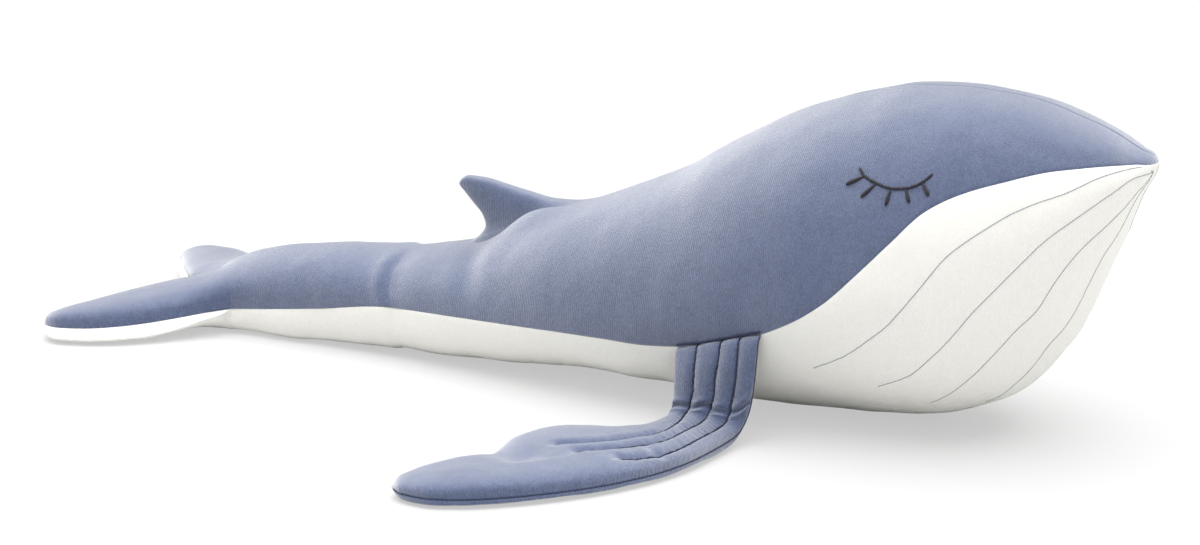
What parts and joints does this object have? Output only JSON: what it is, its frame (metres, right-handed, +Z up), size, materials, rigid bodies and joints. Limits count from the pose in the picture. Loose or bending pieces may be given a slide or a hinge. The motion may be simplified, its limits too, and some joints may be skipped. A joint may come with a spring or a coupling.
{
  "type": "plush whale",
  "caption": "Stuffed whale toy lying on its belly, with quilted flippers, a dorsal fin, tail flukes and embroidered closed eyes.",
  "frame": {"origin": "centre of the bounding box in plan, on the surface that the whale lies on", "axes": "+X from the flukes to the snout, +Y to the whale's left, +Z up"},
  "size_m": [0.955, 0.724, 0.2738],
  "materials": {
    "blue_knit": "brushed cotton knit with a fine nap",
    "white_jersey": "smooth off-white cotton jersey",
    "fibre_filling": "loose polyester fibre",
    "eye_thread": "dark embroidery thread"
  },
  "bodies": {
    "torso": {"upper_panel_right": "blue_knit", "upper_panel_left": "blue_knit", "belly_panel": "white_jersey", "torso_filling": "fibre_filling", "closed_eye_right": "eye_thread", "closed_eye_left": "eye_thread"},
    "dorsal_fin": {"fin_skin_right": "blue_knit", "fin_skin_left": "blue_knit", "fin_filling": "fibre_filling"},
    "tail_root": {"tail_root_panel_right": "blue_knit", "tail_root_panel_left": "blue_knit", "tail_root_belly": "white_jersey", "tail_root_filling": "fibre_filling"},
    "tail": {"tail_panel_right": "blue_knit", "tail_panel_left": "blue_knit", "tail_belly": "white_jersey", "tail_filling": "fibre_filling"},
    "fluke_right": {"fluke_top_right": "blue_knit", "fluke_underside_right": "white_jersey", "fluke_filling_right": "fibre_filling"},
    "flipper_arm_right": {"flipper_arm_outer_right": "blue_knit", "flipper_arm_inner_right": "blue_knit", "flipper_arm_filling_right": "fibre_filling"},
    "flipper_blade_right": {"flipper_blade_top_right": "blue_knit", "flipper_blade_underside_right": "blue_knit", "flipper_blade_filling_right": "fibre_filling"},
    "fluke_left": {"fluke_top_left": "blue_knit", "fluke_underside_left": "white_jersey", "fluke_filling_left": "fibre_filling"},
    "flipper_arm_left": {"flipper_arm_outer_left": "blue_knit", "flipper_arm_inner_left": "blue_knit", "flipper_arm_filling_left": "fibre_filling"},
    "flipper_blade_left": {"flipper_blade_top_left": "blue_knit", "flipper_blade_underside_left": "blue_knit", "flipper_blade_filling_left": "fibre_filling"}
  },
  "joints": [
    {"name": "tail_bend", "type": "hinge", "parent": "torso", "child": "tail_root", "pos_m": [-0.12434, 0, 0.04799], "axis": [0, 1, 0], "range_deg": [-20, 20], "stiffness_Nm_per_rad": 0.6},
    {"name": "tail_swing", "type": "hinge", "parent": "tail_root", "child": "tail", "pos_m": [-0.18719, 0, 0.04799], "axis": [0, 0, 1], "range_deg": [-20, 20], "stiffness_Nm_per_rad": 0.6},
    {"name": "fluke_flex_right", "type": "hinge", "parent": "tail", "child": "fluke_right", "pos_m": [-0.3615, -0.01981, 0.021], "axis": [-0.7431, 0.6691, 0], "range_deg": [-15, 15], "stiffness_Nm_per_rad": 0.3},
    {"name": "fluke_flex_left", "type": "hinge", "parent": "tail", "child": "fluke_left", "pos_m": [-0.3615, 0.01981, 0.021], "axis": [0.7431, 0.6691, 0], "range_deg": [-15, 15], "stiffness_Nm_per_rad": 0.3},
    {"name": "fin_flex", "type": "hinge", "parent": "torso", "child": "dorsal_fin", "pos_m": [-0.05634, 0, 0.12305], "axis": [0.9196, 0, 0.3929], "range_deg": [-20, 20], "stiffness_Nm_per_rad": 0.1},
    {"name": "flipper_lift_right", "type": "hinge", "parent": "torso", "child": "flipper_arm_right", "pos_m": [0.16126, -0.11995, 0.07664], "axis": [-0.9481, 0.1492, -0.2807], "range_deg": [0, 60]},
    {"name": "flipper_lift_left", "type": "hinge", "parent": "torso", "child": "flipper_arm_left", "pos_m": [0.16126, 0.11995, 0.07664], "axis": [0.9481, 0.1492, 0.2807], "range_deg": [0, 60]},
    {"name": "flipper_fold_right", "type": "hinge", "parent": "flipper_arm_right", "child": "flipper_blade_right", "pos_m": [0.15707, -0.127, 0.015], "axis": [-1, 0, 0], "range_deg": [-75, 15]},
    {"name": "flipper_fold_left", "type": "hinge", "parent": "flipper_arm_left", "child": "flipper_blade_left", "pos_m": [0.15707, 0.127, 0.015], "axis": [1, 0, 0], "range_deg": [-75, 15]}
  ]
}
